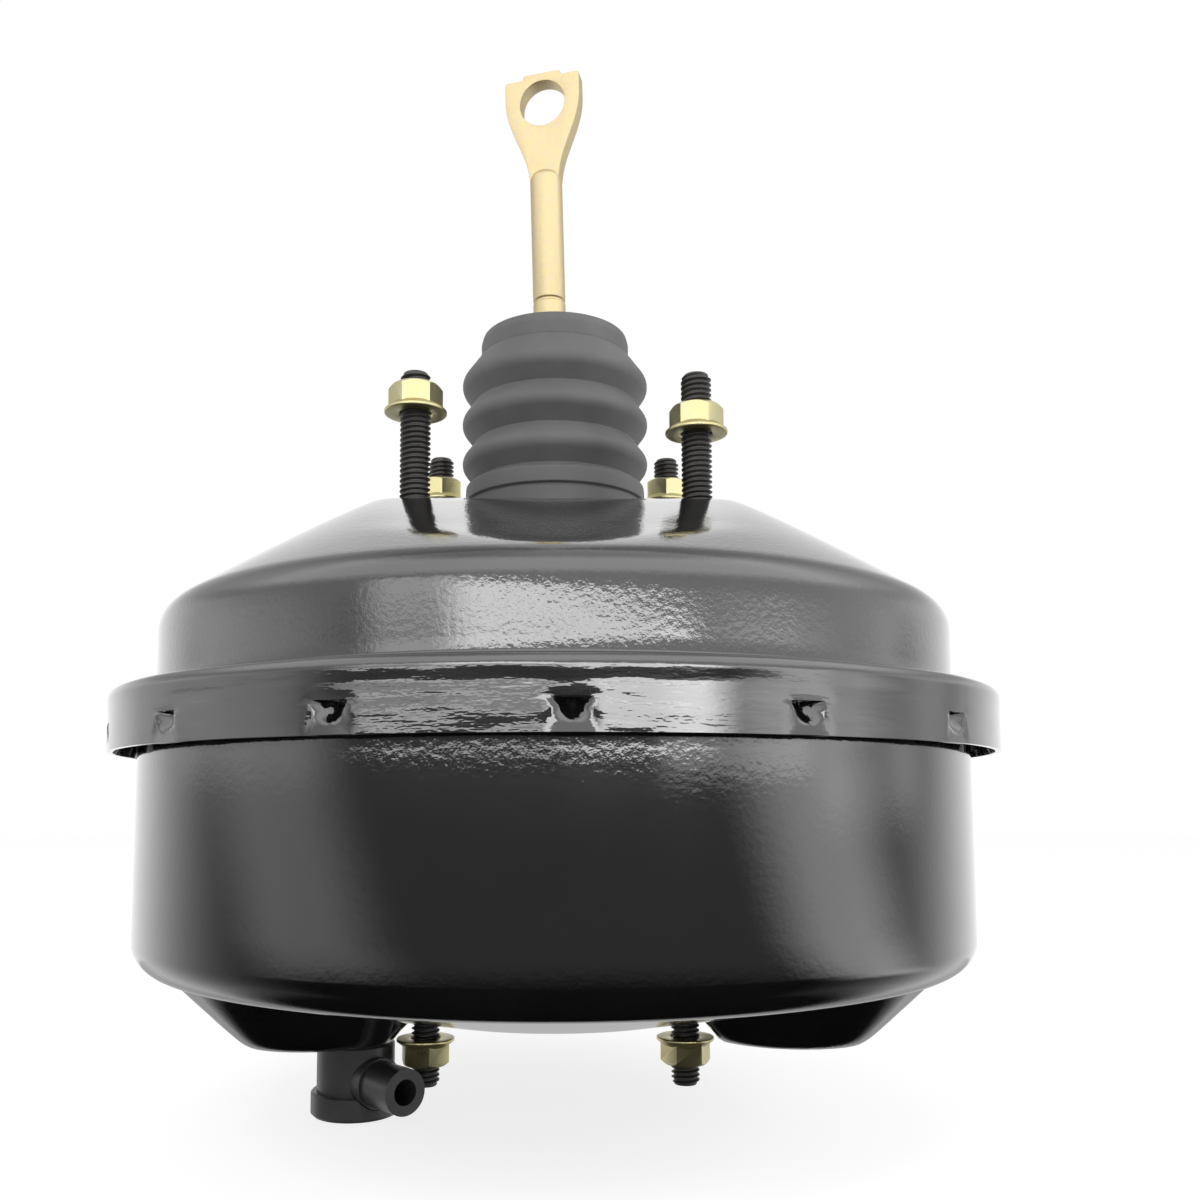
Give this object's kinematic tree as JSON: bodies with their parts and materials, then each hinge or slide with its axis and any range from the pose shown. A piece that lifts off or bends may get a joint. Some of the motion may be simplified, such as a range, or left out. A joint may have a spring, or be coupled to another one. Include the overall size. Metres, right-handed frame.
{
  "type": "brake booster",
  "caption": "Tandem vacuum brake booster: crimped two-piece shell, pleated boot round an eye-ended pushrod, firewall and master cylinder studs with flange nuts, and a swivelling check valve.",
  "frame": {"origin": "middle of the four firewall studs, on the rear shell's mounting face", "axes": "+Z along the booster's axis towards the pedal end, X across the two master cylinder studs, -Y towards the picture's viewer"},
  "size_m": [0.2804, 0.2804, 0.356],
  "materials": {
    "front_shell": "gloss black paint with fine orange peel",
    "rear_shell": "gloss black paint with fine orange peel",
    "divider": "pressed, satin",
    "stiffener": "phosphated",
    "stud_black": "black phosphate",
    "zinc_nut": "yellow zinc plate",
    "seal_rubber": "matt",
    "bearing_plastic": "moulded, self-lubricating",
    "boot_rubber": "matt dark grey",
    "spring_steel": "drawn wire",
    "diaphragm_rubber": "matt with fabric backing",
    "piston_plastic": "moulded phenolic",
    "plate_zinc": "yellow zinc plate",
    "retainer_plastic": "moulded",
    "machined_steel": "machined",
    "filter_foam": "felted",
    "pushrod_zinc": "matt yellow zinc plate",
    "check_plastic": "moulded, semi-gloss"
  },
  "bodies": {
    "casing": {"front_shell": "front_shell", "rear_shell": "rear_shell", "housing_divider": "divider", "front_stiffener": "stiffener", "rear_stiffener": "stiffener", "firewall_studs": "stud_black", "firewall_nuts": "zinc_nut", "front_studs": "stud_black", "front_nuts": "zinc_nut", "front_seal": "seal_rubber", "neck_bearing": "bearing_plastic", "divider_bearing": "bearing_plastic", "grommet": "seal_rubber", "boot": "boot_rubber", "return_spring": "spring_steel", "primary_diaphragm": "diaphragm_rubber", "secondary_diaphragm": "diaphragm_rubber"},
    "piston_group": {"power_piston": "piston_plastic", "primary_plate": "plate_zinc", "secondary_plate": "plate_zinc", "plate_retainer": "retainer_plastic", "reaction_disc": "seal_rubber", "reaction_pin": "machined_steel", "reaction_retainer": "retainer_plastic", "output_rod": "machined_steel", "valve_key": "machined_steel", "poppet": "seal_rubber", "poppet_retainer": "plate_zinc", "poppet_spring": "spring_steel", "air_filter": "filter_foam", "valve_spring": "spring_steel"},
    "plunger": {"air_valve": "machined_steel", "air_valve_seal": "seal_rubber"},
    "rod": {"pushrod": "pushrod_zinc", "spring_washer": "machined_steel"},
    "hose_elbow": {"check_body": "check_plastic", "check_cap": "check_plastic", "check_spring": "spring_steel"},
    "flap": {"check_disc": "seal_rubber"}
  },
  "joints": [
    {"name": "piston_stroke", "type": "slide", "parent": "casing", "child": "piston_group", "axis": [0, 0, 1], "range_m": [-0.032, 0], "stiffness_N_per_m": 3000, "springref_m": 0.05, "deforming": ["boot", "return_spring", "primary_diaphragm", "secondary_diaphragm"]},
    {"name": "valve_stroke", "type": "slide", "parent": "piston_group", "child": "plunger", "axis": [0, 0, 1], "range_m": [-0.0015, 0], "stiffness_N_per_m": 2500, "springref_m": 0.008, "deforming": ["valve_spring"]},
    {"name": "pushrod_swing", "type": "hinge", "parent": "plunger", "child": "rod", "pos_m": [0, 0, 0.004], "axis": [0.2756, 0.9613, 0.0067], "range_deg": [-3, 3]},
    {"name": "check_valve_swivel", "type": "hinge", "parent": "casing", "child": "hose_elbow", "pos_m": [-0.0656, 0, -0.1793], "axis": [0, 0, 1], "range_deg": [-100, 3]},
    {"name": "check_valve_lift", "type": "slide", "parent": "hose_elbow", "child": "flap", "axis": [0, 0, 1], "range_m": [-0.0015, 0], "stiffness_N_per_m": 80, "springref_m": 0.005, "deforming": ["check_spring"]}
  ]
}
